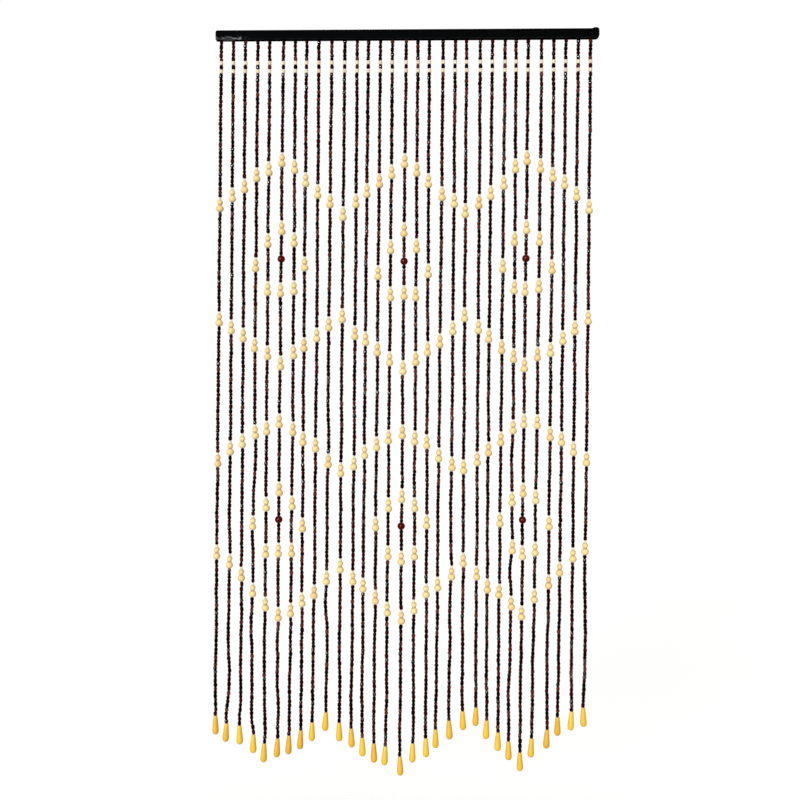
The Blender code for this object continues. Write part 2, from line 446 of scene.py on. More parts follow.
def add_attribute(mesh, name, kind, values):
    """A value for each point of a mesh, which its material reads by name."""
    attribute = mesh.attributes.new(name, kind, "POINT")
    attribute.data.foreach_set("vector" if kind == "FLOAT_VECTOR" else "value", values)


def finish_piece(piece, material, node):
    """Gives a piece its material and ties it to the frame."""
    piece.data.materials.clear()
    piece.data.materials.append(material)
    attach(piece, ROOT)
    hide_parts(node)


# Shader helpers

def new_material(name):
    """A material with a Principled shader: the material, its nodes, links and shader."""
    material = bpy.data.materials.new(name)
    material.use_nodes = True
    tree = material.node_tree
    return material, tree.nodes, tree.links, tree.nodes["Principled BSDF"]


def new_group(name, inputs, outputs):
    """A shader node group with named sockets: the group, its input and output nodes."""
    group = bpy.data.node_groups.new(name, "ShaderNodeTree")
    for socket_name, kind, value in inputs:
        socket = group.interface.new_socket(socket_name, in_out="INPUT", socket_type=kind)
        if value is not None:
            socket.default_value = value
    for socket_name, kind in outputs:
        group.interface.new_socket(socket_name, in_out="OUTPUT", socket_type=kind)
    return group, group.nodes.new("NodeGroupInput"), group.nodes.new("NodeGroupOutput")


def put_group(nodes, group, **values):
    """A group placed in a material with its own values."""
    node = nodes.new("ShaderNodeGroup")
    node.node_tree = group
    for name, value in values.items():
        node.inputs[name].default_value = value
    return node


def math_node(nodes, links, operation, first, second=None, clamp=False):
    """A maths node on sockets or numbers, and its result."""
    node = nodes.new("ShaderNodeMath")
    node.operation = operation
    node.use_clamp = clamp
    for socket, value in zip(node.inputs, (first, second)):
        if value is None:
            continue
        if isinstance(value, (int, float)):
            socket.default_value = value
        else:
            links.new(value, socket)
    return node.outputs[0]


def range_node(nodes, links, value, low, high, new_low=0, new_high=1, smooth=True):
    """A value mapped from one range to another, and held inside it."""
    node = nodes.new("ShaderNodeMapRange")
    node.interpolation_type = "SMOOTHSTEP" if smooth else "LINEAR"
    links.new(value, node.inputs["Value"])
    node.inputs["From Min"].default_value = low
    node.inputs["From Max"].default_value = high
    node.inputs["To Min"].default_value = new_low
    node.inputs["To Max"].default_value = new_high
    return node.outputs["Result"]


def mix_colour(nodes, links, blend, factor, first, second):
    """Two colours mixed, and the result."""
    node = nodes.new("ShaderNodeMix")
    node.data_type = "RGBA"
    node.blend_type = blend
    sockets = {"Factor_Float": factor, "A_Color": first, "B_Color": second}
    for socket in node.inputs:
        value = sockets.get(socket.identifier)
        if value is None:
            continue
        if isinstance(value, (int, float)):
            socket.default_value = value
        elif isinstance(value, tuple):
            socket.default_value = (*value, 1)
        else:
            links.new(value, socket)
    return next(out for out in node.outputs if out.identifier == "Result_Color")


def colour_ramp(nodes, links, value, stops):
    """A colour read from a ramp of (place, colour) stops."""
    node = nodes.new("ShaderNodeValToRGB")
    ramp = node.color_ramp
    while len(ramp.elements) < len(stops):
        ramp.elements.new(0.5)
    for element, (place, colour) in zip(ramp.elements, stops):
        element.position = place
        element.color = (*colour, 1)
    links.new(value, node.inputs["Fac"])
    return node.outputs["Color"]


def noise_node(nodes, links, vector, scale, detail=4, roughness=0.55, distortion=0.0):
    """A noise pattern, from 0 to 1."""
    node = nodes.new("ShaderNodeTexNoise")
    links.new(vector, node.inputs["Vector"])
    node.inputs["Scale"].default_value = scale
    node.inputs["Detail"].default_value = detail
    node.inputs["Roughness"].default_value = roughness
    node.inputs["Distortion"].default_value = distortion
    return node.outputs["Fac"]


def stretch_node(nodes, links, vector, factors):
    """A vector with each axis stretched by its own factor."""
    node = nodes.new("ShaderNodeVectorMath")
    node.operation = "MULTIPLY"
    links.new(vector, node.inputs[0])
    node.inputs[1].default_value = factors
    return node.outputs[0]


def lay_over(nodes, links, mask, strength, base, over, blend="MIX"):
    """A colour laid over another where a mask says, at a strength."""
    share = math_node(nodes, links, "MULTIPLY", mask, strength)
    return mix_colour(nodes, links, blend, share, base, over)


def band_node(nodes, links, value, middle, full, faded, strength):
    """A strength where a value is within full of a middle, fading to 0 at faded from it."""
    off = math_node(nodes, links, "SUBTRACT", value, middle)
    off = math_node(nodes, links, "ABSOLUTE", off)
    return range_node(nodes, links, off, full, faded, strength, 0.0)


def attribute_node(nodes, name):
    """A mesh attribute's node."""
    node = nodes.new("ShaderNodeAttribute")
    node.attribute_name = name
    return node


def bump_node(nodes, links, height, strength, distance, shader):
    """Raises a surface by a height pattern."""
    node = nodes.new("ShaderNodeBump")
    node.inputs["Strength"].default_value = strength
    node.inputs["Distance"].default_value = distance
    links.new(height, node.inputs["Height"])
    links.new(node.outputs["Normal"], shader.inputs["Normal"])


# Effects that several finishes use

def wood_grain_group():
    """Long streaks along Z and short pores between them, in a place given in mm."""
    group, inward, outward = new_group(
        "wood_grain",
        [("Place", "NodeSocketVector", None), ("Streak Size", "NodeSocketFloat", 1.0)],
        [("Streaks", "NodeSocketFloat"), ("Pores", "NodeSocketFloat")],
    )
    nodes, links = group.nodes, group.links
    sized = nodes.new("ShaderNodeVectorMath")
    sized.operation = "SCALE"
    links.new(inward.outputs["Place"], sized.inputs[0])
    scale = math_node(nodes, links, "DIVIDE", 1.0, inward.outputs["Streak Size"])
    links.new(scale, sized.inputs["Scale"])
    long_grain = stretch_node(nodes, links, sized.outputs[0], (1, 1, 0.1))
    streaks = noise_node(
        nodes, links, long_grain, 0.9, detail=5, roughness=0.62, distortion=0.4
    )
    short_grain = stretch_node(nodes, links, sized.outputs[0], (1, 1, 0.3))
    pores = noise_node(nodes, links, short_grain, 3.2, detail=2, roughness=0.5)
    streaks = range_node(nodes, links, streaks, 0.3, 0.7)
    pores = range_node(nodes, links, pores, 0.6, 0.72)
    links.new(streaks, outward.inputs["Streaks"])
    links.new(pores, outward.inputs["Pores"])
    return group


def bore_shade_group():
    """A mask for the painted shade where a bead meets the next one: 0 in the open, 1 there."""
    group, inward, outward = new_group(
        "bore_shade",
        [("Down", "NodeSocketFloat", 0.5), ("Reach", "NodeSocketFloat", 0.15)],
        [("Shade", "NodeSocketFloat")],
    )
    nodes, links = group.nodes, group.links
    from_foot = math_node(nodes, links, "SUBTRACT", 1.0, inward.outputs["Down"])
    nearest = math_node(nodes, links, "MINIMUM", inward.outputs["Down"], from_foot)
    share = math_node(nodes, links, "DIVIDE", nearest, inward.outputs["Reach"], clamp=True)
    shade = math_node(nodes, links, "SUBTRACT", 1.0, share)
    links.new(shade, outward.inputs["Shade"])
    return group


# The noise above which spots show at an Amount of 0, how far Amount lowers that, and how
# sharply a spot begins
WORN_LEVEL = 0.62
WORN_LOWERING = 0.5
WORN_SHARPNESS = 18.0


def worn_group():
    """Spots where a finish is worn or chipped: 1 in a spot. More Amount wears more."""
    group, inward, outward = new_group(
        "worn_spots",
        [("Place", "NodeSocketVector", None), ("Amount", "NodeSocketFloat", 0.3)],
        [("Worn", "NodeSocketFloat")],
    )
    nodes, links = group.nodes, group.links
    broad = noise_node(nodes, links, inward.outputs["Place"], 0.12, detail=3)
    fine = noise_node(nodes, links, inward.outputs["Place"], 0.9, detail=6, roughness=0.7)
    both = math_node(nodes, links, "MULTIPLY", broad, fine)
    lowered = math_node(nodes, links, "MULTIPLY", inward.outputs["Amount"], WORN_LOWERING)
    level = math_node(nodes, links, "SUBTRACT", WORN_LEVEL, lowered)
    over = math_node(nodes, links, "SUBTRACT", both, level)
    worn = math_node(nodes, links, "MULTIPLY", over, WORN_SHARPNESS, clamp=True)
    links.new(worn, outward.inputs["Worn"])
    return group


WOOD_GRAIN = wood_grain_group()
BORE_SHADE = bore_shade_group()
WORN = worn_group()


# Materials

# What a bead's finish reads: the place in the bead, the bead's own tone, and the masks of
# its streaks, pores and painted bore shade
Patterns = namedtuple("Patterns", "point tone streaks pores shade")


def bead_patterns(nodes, links, streak_size, shade_reach):
    """A bead's patterns, with streaks of a size and a painted bore shade that reaches so far.
    """
    point = attribute_node(nodes, "bead_point").outputs["Vector"]
    tone = attribute_node(nodes, "tone").outputs["Fac"]
    grain = put_group(nodes, WOOD_GRAIN, **{"Streak Size": streak_size})
    links.new(point, grain.inputs["Place"])
    shade = put_group(nodes, BORE_SHADE, Reach=shade_reach)
    links.new(attribute_node(nodes, "down").outputs["Fac"], shade.inputs["Down"])
    return Patterns(
        point, tone, grain.outputs["Streaks"], grain.outputs["Pores"], shade.outputs["Shade"]
    )


def brown_lacquer():
    """Small brown beads: dark red-brown lacquer, a little different on each bead."""
    material, nodes, links, shader = new_material("brown_lacquer")
    bead = bead_patterns(nodes, links, streak_size=1.2, shade_reach=0.24)
    colour = colour_ramp(nodes, links, bead.tone, (
        (0.0, (0.14, 0.035, 0.022)),
        (0.2, (0.046, 0.0025, 0.0015)),
        (0.55, (0.018, 0.0003, 0.0002)),
        (1.0, (0.006, 0.0001, 0.0001)),
    ))
    streaked = lay_over(
        nodes, links, bead.streaks, 0.5, colour, (0.45, 0.35, 0.35), "MULTIPLY"
    )
    # Painted shade: near black at each bead's ends, where it meets the next
    shaded = lay_over(nodes, links, bead.shade, 0.9, streaked, (0.002, 0.0005, 0.0005))
    links.new(shaded, shader.inputs["Base Color"])
    gloss = attribute_node(nodes, "gloss").outputs["Fac"]
    dulled = range_node(nodes, links, gloss, 0, 1, 0.3, 0.16, smooth=False)
    links.new(dulled, shader.inputs["Roughness"])
    shader.inputs["Specular IOR Level"].default_value = 0.02
    glossiest = range_node(nodes, links, gloss, 0.84, 0.94)
    links.new(glossiest, shader.inputs["Coat Weight"])
    shader.inputs["Coat Roughness"].default_value = 0.06
    shader.inputs["Coat IOR"].default_value = 2.3
    dents = noise_node(nodes, links, bead.point, 0.2, detail=1)
    bump_node(nodes, links, dents, 1.0, 0.8 * MM, shader)
    return material


def pale_varnish():
    """Gourds: pale yellow wood under a satin varnish.

    It is bare at the very top, with painted shade round the neck's foot and in the waist.
    """
    material, nodes, links, shader = new_material("pale_varnish")
    bead = bead_patterns(nodes, links, streak_size=1.6, shade_reach=0.14)
    colour = colour_ramp(nodes, links, bead.tone, (
        (0.0, (0.80, 0.65, 0.31)),
        (0.5, (0.79, 0.62, 0.28)),
        (0.85, (0.78, 0.58, 0.25)),
        (1.0, (0.77, 0.54, 0.24)),
    ))
    streaked = lay_over(nodes, links, bead.streaks, 0.3, colour, (0.68, 0.42, 0.13))
    pored = lay_over(nodes, links, bead.pores, 0.25, streaked, (0.50, 0.29, 0.09))
    down = attribute_node(nodes, "down").outputs["Fac"]
    bare = range_node(nodes, links, down, 0.02, 0.12, 0.8, 0.0)
    necked = mix_colour(nodes, links, "MIX", bare, pored, (0.74, 0.66, 0.46))
    # Painted shade in the groove round the neck's foot
    neck = band_node(nodes, links, down, GOURD_NECK, 0.02, 0.09, 0.8)
    necked = mix_colour(nodes, links, "MIX", neck, necked, (0.54, 0.42, 0.22))
    # Painted shade in the waist between the two round bodies
    waist = band_node(nodes, links, down, GOURD_WAIST, 0.01, 0.09, 0.95)
    shaded = mix_colour(nodes, links, "MIX", waist, necked, (0.50, 0.30, 0.07))
    links.new(shaded, shader.inputs["Base Color"])
    smear = noise_node(nodes, links, bead.point, 0.2, detail=3)
    links.new(range_node(nodes, links, smear, 0.3, 0.7, 0.32, 0.5), shader.inputs["Roughness"])
    shader.inputs["Specular IOR Level"].default_value = 0.4
    bump_node(nodes, links, bead.streaks, 0.15, 0.15 * MM, shader)
    return material


def cream_wood():
    """Spacers: bare cream wood."""
    material, nodes, links, shader = new_material("cream_wood")
    bead = bead_patterns(nodes, links, streak_size=1.3, shade_reach=0.12)
    colour = colour_ramp(nodes, links, bead.tone, (
        (0.0, (0.72, 0.63, 0.47)),
        (0.7, (0.68, 0.57, 0.41)),
        (1.0, (0.62, 0.48, 0.33)),
    ))
    streaked = lay_over(nodes, links, bead.streaks, 0.25, colour, (0.66, 0.48, 0.30))
    # Painted shade at the spacer's ends, where it meets the next bead
    shaded = lay_over(nodes, links, bead.shade, 0.45, streaked, (0.50, 0.32, 0.16))
    links.new(shaded, shader.inputs["Base Color"])
    shader.inputs["Roughness"].default_value = 0.55
    shader.inputs["Specular IOR Level"].default_value = 0.3
    bump_node(nodes, links, bead.streaks, 0.2, 0.15 * MM, shader)
    return material


def red_lacquer():
    """Round middle beads: deep red gloss."""
    material, nodes, links, shader = new_material("red_lacquer")
    bead = bead_patterns(nodes, links, streak_size=1.8, shade_reach=0.12)
    colour = colour_ramp(nodes, links, bead.streaks, (
        (0.0, (0.11, 0.004, 0.003)),
        (1.0, (0.045, 0.001, 0.001)),
    ))
    # Painted shade at the bead's ends, where it meets the next one
    shaded = lay_over(nodes, links, bead.shade, 0.6, colour, (0.01, 0.001, 0.001))
    links.new(shaded, shader.inputs["Base Color"])
    smear = noise_node(nodes, links, bead.point, 0.25, detail=3)
    links.new(range_node(nodes, links, smear, 0.3, 0.7, 0.1, 0.22), shader.inputs["Roughness"])
    shader.inputs["Specular IOR Level"].default_value = 0.3
    shader.inputs["Coat Weight"].default_value = 0.25
    shader.inputs["Coat Roughness"].default_value = 0.05
    bump_node(nodes, links, bead.streaks, 0.05, 0.15 * MM, shader)
    return material


def yellow_stain():
    """End drops: golden stain, with brown streaks and flecks on some of them."""
    material, nodes, links, shader = new_material("yellow_stain")
    bead = bead_patterns(nodes, links, streak_size=2.2, shade_reach=0.06)
    colour = colour_ramp(nodes, links, bead.tone, (
        (0.0, (0.83, 0.54, 0.043)),
        (0.6, (0.78, 0.48, 0.031)),
        (1.0, (0.70, 0.39, 0.02)),
    ))
    streaked = lay_over(nodes, links, bead.streaks, 0.4, colour, (0.52, 0.24, 0.018))
    flecks = put_group(nodes, WORN, Amount=0.42)
    links.new(bead.point, flecks.inputs["Place"])
    marked = range_node(nodes, links, bead.tone, 0.72, 0.9)
    fleck_share = math_node(nodes, links, "MULTIPLY", flecks.outputs["Worn"], marked)
    flecked = lay_over(nodes, links, fleck_share, 0.75, streaked, (0.30, 0.12, 0.015))
    # A painted highlight: paler near the drop's top and foot
    shaded = lay_over(nodes, links, bead.shade, 0.3, flecked, (0.9, 0.6, 0.2))
    links.new(shaded, shader.inputs["Base Color"])
    smear = noise_node(nodes, links, bead.point, 0.15, detail=3)
    links.new(range_node(nodes, links, smear, 0.3, 0.7, 0.3, 0.48), shader.inputs["Roughness"])
    shader.inputs["Specular IOR Level"].default_value = 0.4
    bump_node(nodes, links, bead.streaks, 0.15, 0.2 * MM, shader)
    return material


def black_paint():
    """The rail: black paint brushed along the wood, a painted highlight at its lower front
    edge, scuffs.
    """
    material, nodes, links, shader = new_material("black_paint")
    place = nodes.new("ShaderNodeTexCoord").outputs["Object"]
    in_mm = stretch_node(nodes, links, place, (1 / MM,) * 3)
    brushed = stretch_node(nodes, links, place, (30, 900, 900))
    brush = noise_node(nodes, links, brushed, 1.0, detail=5, roughness=0.6)
    colour = colour_ramp(nodes, links, brush, (
        (0.35, (0.0006, 0.0007, 0.0009)),
        (0.65, (0.0016, 0.0018, 0.0021)),
    ))
    axes = nodes.new("ShaderNodeSeparateXYZ")
    links.new(place, axes.inputs[0])
    up = math_node(nodes, links, "ADD", axes.outputs["Z"], RAIL_HEIGHT / 2)
    inward = math_node(nodes, links, "SUBTRACT", axes.outputs["Y"], RAIL_LOW.y)

    # A painted highlight in patches along the lower front edge
    past_edge = math_node(nodes, links, "SUBTRACT", inward, 1.2 * MM)
    up_squared = math_node(nodes, links, "MULTIPLY", up, up)
    past_squared = math_node(nodes, links, "MULTIPLY", past_edge, past_edge)
    both = math_node(nodes, links, "ADD", up_squared, past_squared)
    from_edge = math_node(nodes, links, "SQRT", both)
    edge = range_node(nodes, links, from_edge, 2.2 * MM, 1.0 * MM)
    along = stretch_node(nodes, links, in_mm, (0.06, 0.3, 0.3))
    patchy = range_node(nodes, links, noise_node(nodes, links, along, 1.0), 0.35, 0.65, 0.3, 1)
    edge = math_node(nodes, links, "MULTIPLY", edge, patchy)
    edge_highlighted = mix_colour(nodes, links, "MIX", edge, colour, (0.014, 0.015, 0.017))

    # Scuffs on the front toward the left end, most of them low down
    to_lower_edge = range_node(nodes, links, up, 14 * MM, 3 * MM, 0.5, 1)
    on_front = range_node(nodes, links, inward, 9 * MM, 6 * MM)
    to_left_end = range_node(nodes, links, axes.outputs["X"], SCUFFS_BEGIN, SCUFFS_FULL)
    rubbed = math_node(nodes, links, "MULTIPLY", to_lower_edge, to_left_end)
    rubbed = math_node(nodes, links, "MULTIPLY", rubbed, on_front)
    scuffs = put_group(nodes, WORN)
    links.new(stretch_node(nodes, links, in_mm, (0.75, 1, 1.5)), scuffs.inputs["Place"])
    links.new(math_node(nodes, links, "MULTIPLY", rubbed, 0.77), scuffs.inputs["Amount"])
    worn = math_node(nodes, links, "MULTIPLY", scuffs.outputs["Worn"], 0.8)
    scuffed = mix_colour(nodes, links, "MIX", worn, edge_highlighted, (0.24, 0.24, 0.25))
    links.new(scuffed, shader.inputs["Base Color"])
    matt = range_node(nodes, links, brush, 0.3, 0.7, 0.6, 0.75)
    rough_scuffs = math_node(nodes, links, "MULTIPLY", worn, 0.3)
    links.new(math_node(nodes, links, "ADD", matt, rough_scuffs), shader.inputs["Roughness"])
    shader.inputs["Specular IOR Level"].default_value = 0.02
    bump_node(nodes, links, brush, 0.25, 0.15 * MM, shader)
    return material


def pale_string():
    """Strings and heading cord: pale twisted thread."""
    material, nodes, links, shader = new_material("pale_string")
    place = nodes.new("ShaderNodeTexCoord").outputs["Object"]
    in_mm = stretch_node(nodes, links, place, (1 / MM,) * 3)
    fibres = noise_node(nodes, links, in_mm, 2.5, detail=4, roughness=0.65)
    colour = colour_ramp(nodes, links, fibres, (
        (0.3, (0.42, 0.33, 0.22)),
        (0.7, (0.66, 0.56, 0.42)),
    ))
    links.new(colour, shader.inputs["Base Color"])
    shader.inputs["Roughness"].default_value = 0.8
    shader.inputs["Specular IOR Level"].default_value = 0.2
    bump_node(nodes, links, fibres, 0.4, 0.1 * MM, shader)
    return material


# Rail

def select_where(test):
    """In edit mode, selects the edges whose two ends both pass a test of their place."""
    bpy.ops.mesh.select_mode(type="EDGE")
    bpy.ops.mesh.select_all(action="DESELECT")
    bpy.ops.object.mode_set(mode="OBJECT")
    mesh = bpy.context.object.data
    for edge in mesh.edges:
        edge.select = all(test(mesh.vertices[end].co) for end in edge.vertices)
    bpy.ops.object.mode_set(mode="EDIT")


def bisect_at(x):
    """In edit mode, cuts the whole mesh across at x."""
    bpy.ops.mesh.select_all(action="SELECT")
    bpy.ops.mesh.bisect(plane_co=(x, 0, 0), plane_no=(1, 0, 0))


def apply_boolean(target, tool):
    """Cuts target by tool, and removes tool."""
    modifier = target.modifiers.new(tool.name, "BOOLEAN")
    modifier.operation = "DIFFERENCE"
    modifier.solver = "EXACT"
    modifier.object = tool
    select_only(target)
    bpy.ops.object.modifier_apply(modifier=modifier.name)
    bpy.data.objects.remove(tool)


def build_rail():
    """The painted slat: rounded ends, its top raised at the right, groove and holes."""
    left, right = RAIL_LOW.x, RAIL_HIGH.x
    knob = right - RAIL_KNOB_LENGTH
    deselect_all()
    bpy.ops.mesh.primitive_cube_add(
        size=1,
        location=((left + right) / 2, STRAND_Y, 0),
        scale=(right - left, RAIL_DEPTH, RAIL_HEIGHT),
    )
    rail = bpy.context.object
    rail.name = "painted_rail"
    apply_place()
    bpy.ops.object.mode_set(mode="EDIT")
    bisect_at(knob)
    bisect_at(knob + RAIL_KNOB_START)
    select_where(lambda co: co.x > knob + RAIL_KNOB_START / 2 and co.z > 0)
    bpy.ops.transform.translate(value=(0, 0, RAIL_KNOB_RISE))
    corners = (
        (left, 1, RAIL_LEFT_ROUND), (left, -1, RAIL_LEFT_FOOT_ROUND),
        (right, 1, RAIL_RIGHT_ROUND), (right, -1, RAIL_RIGHT_ROUND),
    )
    for end, side, rounding in corners:
        select_where(lambda co: abs(co.x - end) < RAIL_EDGE and co.z * side > 0)
        bpy.ops.mesh.bevel(offset=rounding, segments=RAIL_ROUND_STEPS)
    bpy.ops.object.mode_set(mode="OBJECT")
    bevel = rail.modifiers.new("edges", "BEVEL")
    bevel.width = RAIL_EDGE
    bevel.segments = RAIL_EDGE_STEPS
    bevel.limit_method = "ANGLE"
    bevel.angle_limit = RAIL_EDGE_ANGLE
    bpy.ops.object.modifier_apply(modifier=bevel.name)
    apply_boolean(rail, groove_tool())
    apply_boolean(rail, holes_tool())
    select_only(rail)
    bpy.ops.object.shade_smooth_by_angle(angle=RAIL_SMOOTH_ANGLE)
    return rail


def groove_tool():
    """The groove along the rail's top."""
    left = hole_x(0) - GROOVE_OVERRUN
    right = hole_x(len(STRANDS) - 1) + GROOVE_OVERRUN
    deselect_all()
    bpy.ops.mesh.primitive_cube_add(
        size=1,
        location=((left + right) / 2, STRAND_Y, RAIL_HEIGHT / 2),
        scale=(right - left, GROOVE_WIDTH, GROOVE_DEPTH * 2),
    )
    apply_place()
    return bpy.context.object


def holes_tool():
    """One drill for each strand, down through the rail."""
    deselect_all()
    drills = []
    for index in range(len(STRANDS)):
        bpy.ops.mesh.primitive_cylinder_add(
            vertices=HOLE_SIDES, radius=HOLE_RADIUS, depth=RAIL_HEIGHT * 2,
            location=(hole_x(index), STRAND_Y, 0),
        )
        drills.append(bpy.context.object)
    return joined(drills)


# Heading cord and strings

def build_heading_cord():
    """A cord of three twisted plies in the groove, as one lobed ring screwed along X."""
    left = hole_x(0) - CORD_OVERRUN
    length = hole_x(len(STRANDS) - 1) + CORD_OVERRUN - left
    deselect_all()
    bpy.ops.mesh.primitive_circle_add(
        vertices=CORD_SIDES, radius=CORD_RADIUS, fill_type="NOTHING",
        rotation=(0, math.pi / 2, 0),
    )
    cord = bpy.context.object
    cord.name = "heading_cord"
    apply_place()
    for vert in cord.data.vertices:
        angle = math.atan2(vert.co.z, vert.co.y)
        vert.co *= 1 - CORD_PLY_RELIEF + CORD_PLY_RELIEF * math.cos(CORD_PLIES * angle)
    turns = length / CORD_TWIST_LENGTH
    screw = cord.modifiers.new("twist", "SCREW")
    screw.axis = "X"
    screw.angle = math.tau * turns
    screw.screw_offset = length
    screw.steps = screw.render_steps = round(CORD_STEPS_A_TURN * turns)
    screw.use_merge_vertices = False
    bpy.ops.object.modifier_apply(modifier=screw.name)
    bpy.ops.object.mode_set(mode="EDIT")
    for x in (0, length):
        select_where(lambda co: abs(co.x - x) < 0.1 * MM)
        bpy.ops.mesh.edge_face_add()
    bpy.ops.mesh.select_all(action="SELECT")
    bpy.ops.mesh.normals_make_consistent(inside=False)
    bpy.ops.transform.translate(value=(left, STRAND_Y, CORD_Z))
    bpy.ops.object.mode_set(mode="OBJECT")
    bpy.ops.object.shade_smooth()
    return cord


def build_knots():
    """Two hitches of each string round the heading cord, over its hole."""
    knots = []
    for index in range(len(STRANDS)):
        for side in (-1, 1):
            bpy.ops.mesh.primitive_torus_add(
                major_segments=14, minor_segments=6,
                major_radius=HITCH_RADIUS, minor_radius=HITCH_STRING_RADIUS,
                location=(hole_x(index) + side * HITCH_FROM_HOLE, STRAND_Y, CORD_Z),
                rotation=(
                    0, math.pi / 2 + side * HITCH_LEAN, chance.uniform(-HITCH_SKEW, HITCH_SKEW)
                ),
            )
            knots.append(bpy.context.object)
    all_knots = joined(knots)
    all_knots.name = "string_knots"
    bpy.ops.object.shade_smooth()
    return all_knots


def build_strings():
    """The thirty-one strings, from the heading cord down into the end drops."""
    curve = bpy.data.curves.new("bead_strings", "CURVE")
    curve.dimensions = "3D"
    curve.bevel_depth = STRING_RADIUS
    curve.bevel_resolution = 1
    curve.use_fill_caps = True
    for index, strand in enumerate(STRANDS):
        points = [Vector((hole_x(index), STRAND_Y, CORD_Z))]
        foot = strand.drop + STRING_IN_DROP
        count = round(foot / STRING_STEP)
        points += [on_strand(index, foot * number / count) for number in range(count + 1)]
        spline = curve.splines.new("POLY")
        spline.points.add(len(points) - 1)
        for point, place in zip(spline.points, points):
            point.co = (*place, 1)
    strings = bpy.data.objects.new("bead_strings", curve)
    bpy.context.collection.objects.link(strings)
    select_only(strings)
    bpy.ops.object.convert(target="MESH")
    bpy.ops.object.shade_smooth()
    return bpy.context.object


# Beads

def brown_form():
    """A small barrel-like oval bead, its top at the origin."""
    tall = BROWN_LENGTH
    return turned_form("brown_form", (
        (0, 2.2), (tall * 0.08, 3.4), (tall * 0.27, 4.25), (tall * 0.73, 4.25),
        (tall * 0.92, 3.4), (tall, 2.2),
    ), segments=10)


def brown_places(indices):
    """Places of the brown beads on some strands."""
    places = []
    for index in indices:
        for start, end in brown_runs(index):
            count = max(1, round((end - start) / BROWN_LENGTH))
            shares = [uneven.uniform(*BROWN_SHARES) for _ in range(count)]
            whole = sum(shares)
            depth = start
            for share in shares:
                length = (end - start) * share / whole
                places.append(placed(
                    index, depth, lean=0.08, size=0.08, aside=0.3,
                    length_size=length / BROWN_LENGTH,
                ))
                depth += length
    return places


def spacer_form():
    """A short cream bead with a fine line cut round its middle."""
    tall = SPACER_HEIGHT
    wide = SPACER_RADIUS
    return turned_form("spacer_form", (
        (0.5, 0.9), (0, 1.4), (0, wide * 0.8), (0.6, wide * 0.97), (1.6, wide),
        (tall * 0.44, wide), (tall * 0.5, wide * 0.92), (tall * 0.56, wide),
        (tall - 1.6, wide), (tall - 0.6, wide * 0.97), (tall, wide * 0.8), (tall, 1.4),
        (tall - 0.5, 0.9),
    ), segments=14)


def gourd_form():
    """A gourd turned in one piece: a slim neck, a small round body and a big one."""
    return turned_form("gourd_form", (
        (0.6, 0.8), (0, 1.2), (0, 2.4), (0.4, 2.8), (4.2, 3.1), (6.2, 3.9), (7.8, 5.4),
        (9.6, 6.5), (11.8, 6.8), (14.2, 6.4), (16.2, 5.3), (17.6, 4.3), (18.4, 4.0),
        (19.2, 4.6), (20.7, 6.3), (22.7, 7.8), (25.0, 8.7), (27.4, 8.9), (30.0, 8.2),
        (32.1, 6.8), (33.6, 5.0), (34.3, 3.2), (GOURD_LENGTH, 1.5), (33.9, 0.8),
    ), segments=14)


def red_form():
    """A round bead with a small dimple at each end of its bore."""
    half = RED_WIDTH / 2
    rows = 16
    bore = 1.6
    dimple = 0.8
    start = math.asin(bore / half)
    profile = [(dimple, bore / 2)]
    for row in range(rows + 1):
        angle = start + (math.pi - 2 * start) * row / rows
        depth = half * (1 - math.cos(angle) / math.cos(start))
        profile.append((depth, half * math.sin(angle)))
    profile.append((RED_WIDTH - dimple, bore / 2))
    return turned_form("red_form", profile, segments=24)


def drop_form():
    """The long end drop, narrow at its top and blunt at its foot."""
    return turned_form("drop_form", (
        (1.2, 0.9), (0, 1.3), (0, 3.6), (0.3, 4.3), (1.0, 4.7), (8, 5.4), (16, 6.15),
        (24, 6.9), (30, 7.4), (34.5, 7.6), (37.5, 7.4), (40, 6.7), (42, 5.4),
        (43.4, 3.7), (44.1, 1.9), (DROP_LENGTH, 0.5),
    ), segments=18)


def build_beads():
    """Every bead on the strands, one piece for each kind, and three for the brown ones."""
    brown = brown_lacquer()
    everywhere = range(len(STRANDS))
    for side, indices in BROWN_GROUPS.items():
        beads = thread(f"brown_beads_{side}", brown_form(), brown_places(indices))
        finish_piece(beads, brown, "strands")

    spacers = [placed(index, top, lean=0.04) for index in everywhere for top in SPACER_TOPS]
    spacer_beads = thread("spacers", spacer_form(), spacers)
    finish_piece(spacer_beads, cream_wood(), "strands")

    gourds = [
        placed(index, top, lean=0.03, size=0.03, reach=60)
        for index in everywhere for top in gourd_tops(index)
    ]
    gourd_beads = thread("gourd_beads", gourd_form(), gourds)
    finish_piece(gourd_beads, pale_varnish(), "strands")

    reds = [placed(index, top, lean=0.03) for index in everywhere for top in red_tops(index)]
    finish_piece(thread("red_beads", red_form(), reds), red_lacquer(), "strands")

    drops = [
        placed(index, STRANDS[index].drop, lean=0.05, size=0.03, reach=200)
        for index in everywhere
    ]
    end_drops = thread("end_drops", drop_form(), drops)
    finish_piece(end_drops, yellow_stain(), "strands")


# Camera, floor and light

CAMERA_DISTANCE = 2.6
CAMERA_YAW = math.radians(1.0)
PICTURE_PIXELS = 800
PIXEL_SIZE = 2.35
PICTURE_WIDTH = PICTURE_PIXELS * PIXEL_SIZE * MM
SENSOR = 36
AIM = Vector((-16.3 * MM, STRAND_Y, -857.7 * MM))

FLOOR_Z = -2.0
FLOOR_SIZE = 40
FLOOR_GLOW = 0.09

# The sky's strength a little below level and nearly overhead, and how far it is dimmed in
# what glossy beads mirror, as in a room with few pale things round the curtain
SKY_HEIGHTS = (-0.1, 0.9)
SKY_STRENGTHS = (0.68, 0.9)
MIRRORED_DIMMING = 0.985

KEY_STRENGTH = 2.3
KEY_ANGLE = math.radians(16)
KEY_TOWARD = Vector((-0.45, -1.0, 0.22))


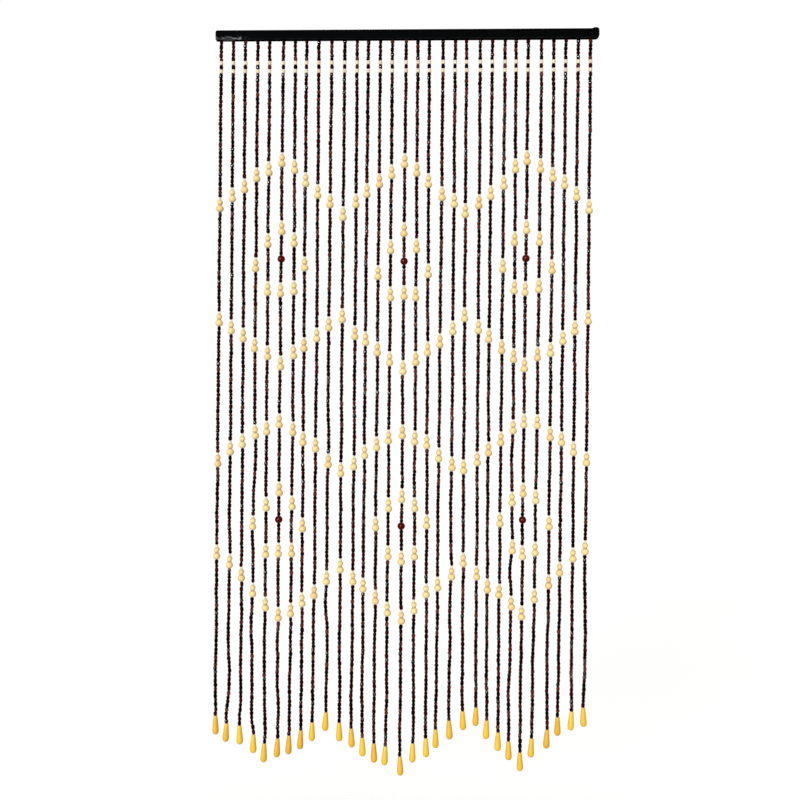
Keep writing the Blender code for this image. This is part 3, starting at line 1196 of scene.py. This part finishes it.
def build_camera():
    """A level camera at the curtain's mid height, a touch to its right."""
    camera = bpy.data.cameras.new("camera")
    camera.sensor_width = SENSOR
    camera.lens = SENSOR * CAMERA_DISTANCE / PICTURE_WIDTH
    seat = bpy.data.objects.new("camera", camera)
    bpy.context.collection.objects.link(seat)
    back = Vector((math.sin(CAMERA_YAW), -math.cos(CAMERA_YAW), 0))
    seat.location = AIM + back * CAMERA_DISTANCE
    seat.rotation_euler = (math.pi / 2, 0, CAMERA_YAW)
    bpy.context.scene.camera = seat


def build_floor():
    """A plain pale floor below the curtain, which casts no light up at the beads."""
    deselect_all()
    bpy.ops.mesh.primitive_plane_add(size=FLOOR_SIZE, location=(0, 0, FLOOR_Z))
    floor = bpy.context.object
    floor.name = "floor"
    material, nodes, links, shader = new_material("pale_floor")
    place = nodes.new("ShaderNodeTexCoord").outputs["Object"]
    cloudy = noise_node(nodes, links, place, 0.8, detail=2)
    colour = colour_ramp(nodes, links, cloudy, (
        (0.3, (0.94, 0.94, 0.93)),
        (0.7, (0.96, 0.96, 0.95)),
    ))
    links.new(colour, shader.inputs["Base Color"])
    shader.inputs["Roughness"].default_value = 0.9
    shader.inputs["Specular IOR Level"].default_value = 0
    shader.inputs["Emission Color"].default_value = (1, 1, 1, 1)
    shader.inputs["Emission Strength"].default_value = FLOOR_GLOW
    floor.data.materials.append(material)
    floor.visible_glossy = False
    floor.visible_diffuse = False


def build_light():
    """A white studio, brighter overhead, with one soft light from the upper left front."""
    world = bpy.data.worlds.new("studio")
    bpy.context.scene.world = world
    world.use_nodes = True
    nodes, links = world.node_tree.nodes, world.node_tree.links
    sky = nodes["Background"]
    sky.inputs["Color"].default_value = (1, 1, 1, 1)
    toward_sky = nodes.new("ShaderNodeSeparateXYZ")
    links.new(nodes.new("ShaderNodeTexCoord").outputs["Generated"], toward_sky.inputs[0])
    glow = range_node(nodes, links, toward_sky.outputs["Z"], *SKY_HEIGHTS, *SKY_STRENGTHS)
    ray = nodes.new("ShaderNodeLightPath")
    glossy, seen = ray.outputs["Is Glossy Ray"], ray.outputs["Is Camera Ray"]
    mirrored = math_node(nodes, links, "MULTIPLY", glossy, MIRRORED_DIMMING)
    left_over = math_node(nodes, links, "SUBTRACT", 1.0, mirrored)
    lighting = math_node(nodes, links, "MULTIPLY", glow, left_over)
    unseen = math_node(nodes, links, "SUBTRACT", 1.0, seen)
    unseen_light = math_node(nodes, links, "MULTIPLY", lighting, unseen)
    links.new(math_node(nodes, links, "ADD", unseen_light, seen), sky.inputs["Strength"])
    light = bpy.data.lights.new("key", "SUN")
    light.energy = KEY_STRENGTH
    light.angle = KEY_ANGLE
    lamp = bpy.data.objects.new("key", light)
    bpy.context.collection.objects.link(lamp)
    lamp.rotation_euler = KEY_TOWARD.to_track_quat("Z", "Y").to_euler()
    bpy.context.scene.view_settings.view_transform = "Standard"


def main():
    """The curtain, and then what it is seen with."""
    string = pale_string()
    finish_piece(build_rail(), black_paint(), "rail")
    finish_piece(build_heading_cord(), string, "strands")
    finish_piece(build_knots(), string, "strands")
    finish_piece(build_strings(), string, "strands")
    build_beads()
    build_camera()
    build_floor()
    build_light()


main()
